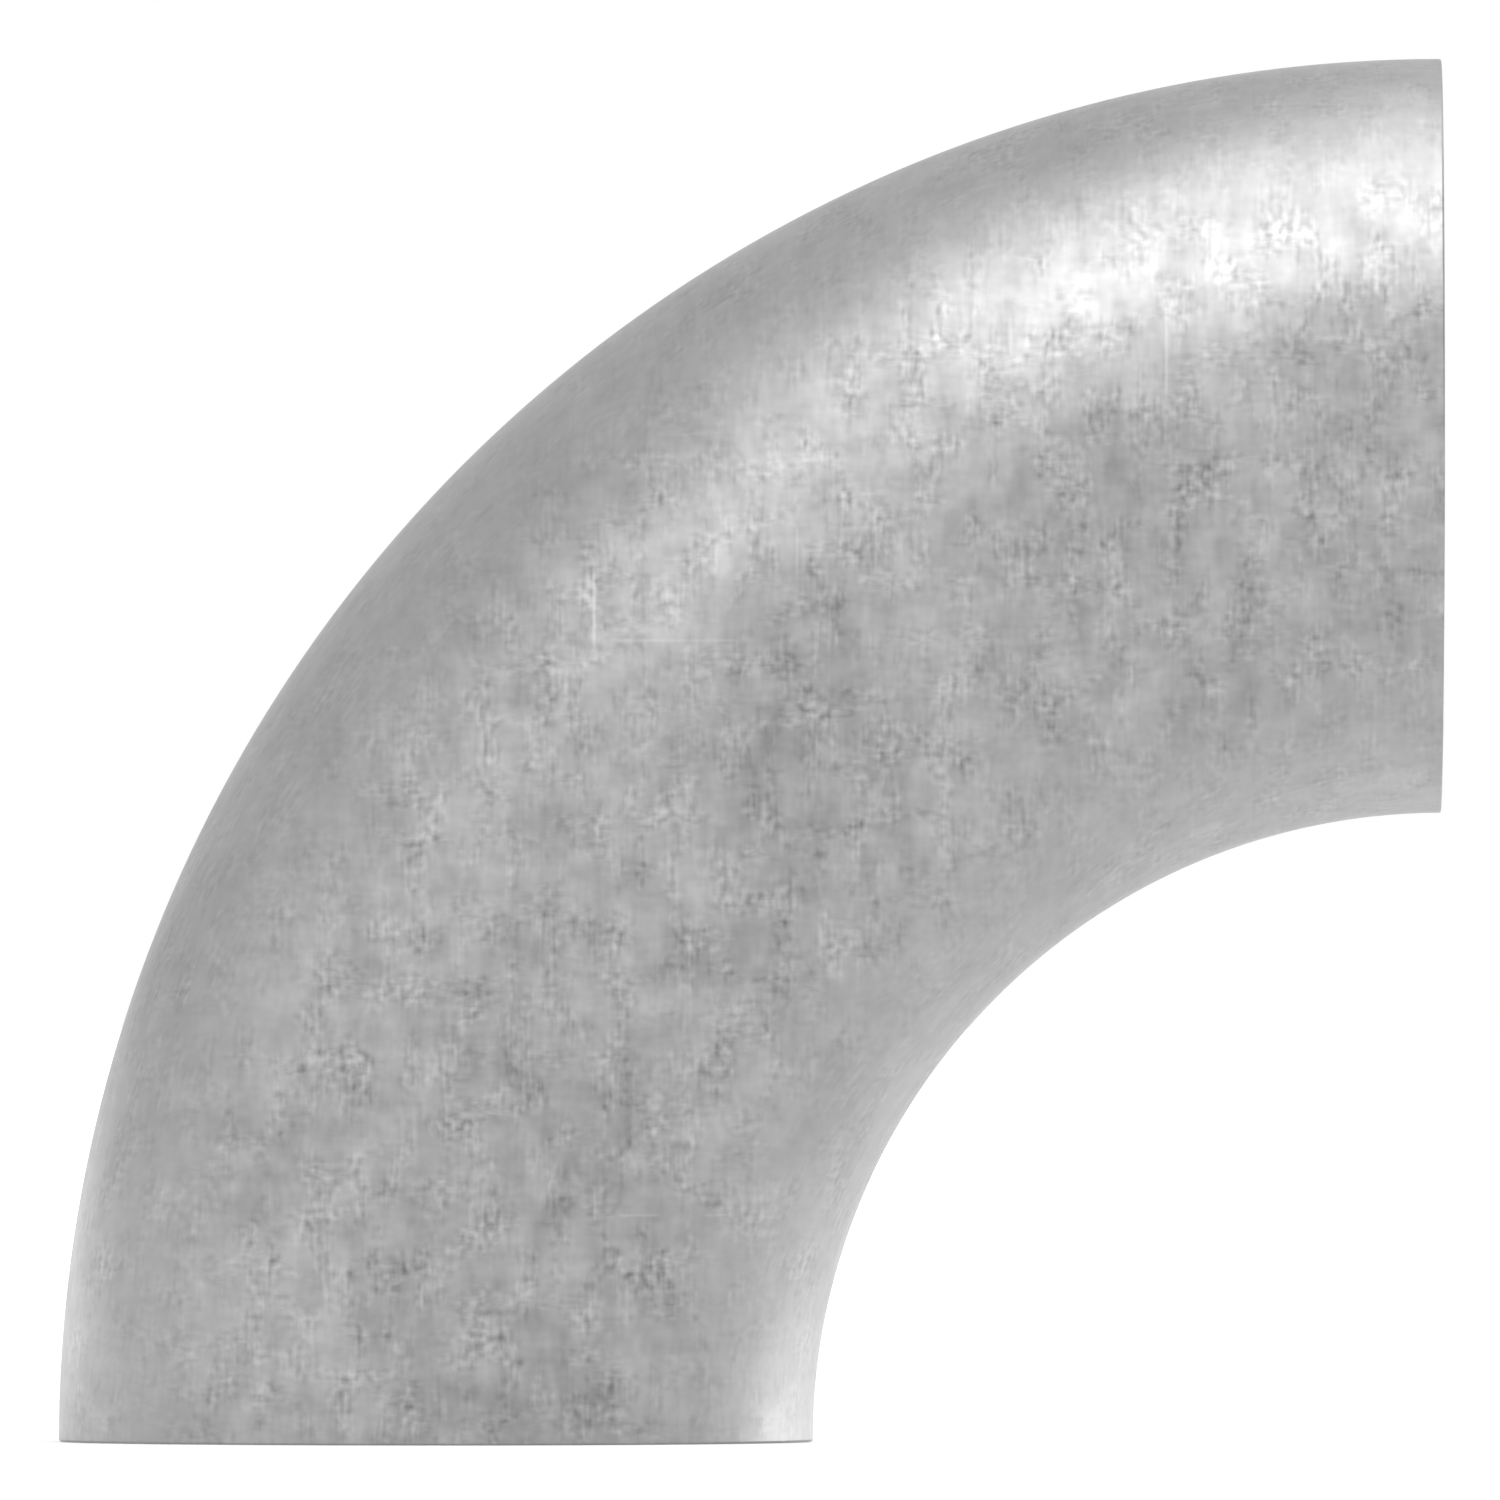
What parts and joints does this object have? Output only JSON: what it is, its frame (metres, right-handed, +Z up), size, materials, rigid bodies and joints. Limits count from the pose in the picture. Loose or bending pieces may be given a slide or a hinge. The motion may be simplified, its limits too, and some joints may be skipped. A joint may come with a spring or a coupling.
{
  "type": "pipe bend",
  "caption": "Long-radius quarter-turn pipe bend of thin-walled brushed steel tube, open at both square-cut ends, for butt welding into a pipe run.",
  "frame": {"origin": "centre of the lower end face, which the bend stands on", "axes": "+Z up out of the lower end, along the bore; +X the way that the upper end faces; Y across the bend, square to its plane"},
  "size_m": [0.2095, 0.1142, 0.2095],
  "materials": {
    "brushed_metal": "satin"
  },
  "bodies": {
    "root": {"pipe_bend": "brushed_metal"}
  },
  "joints": []
}
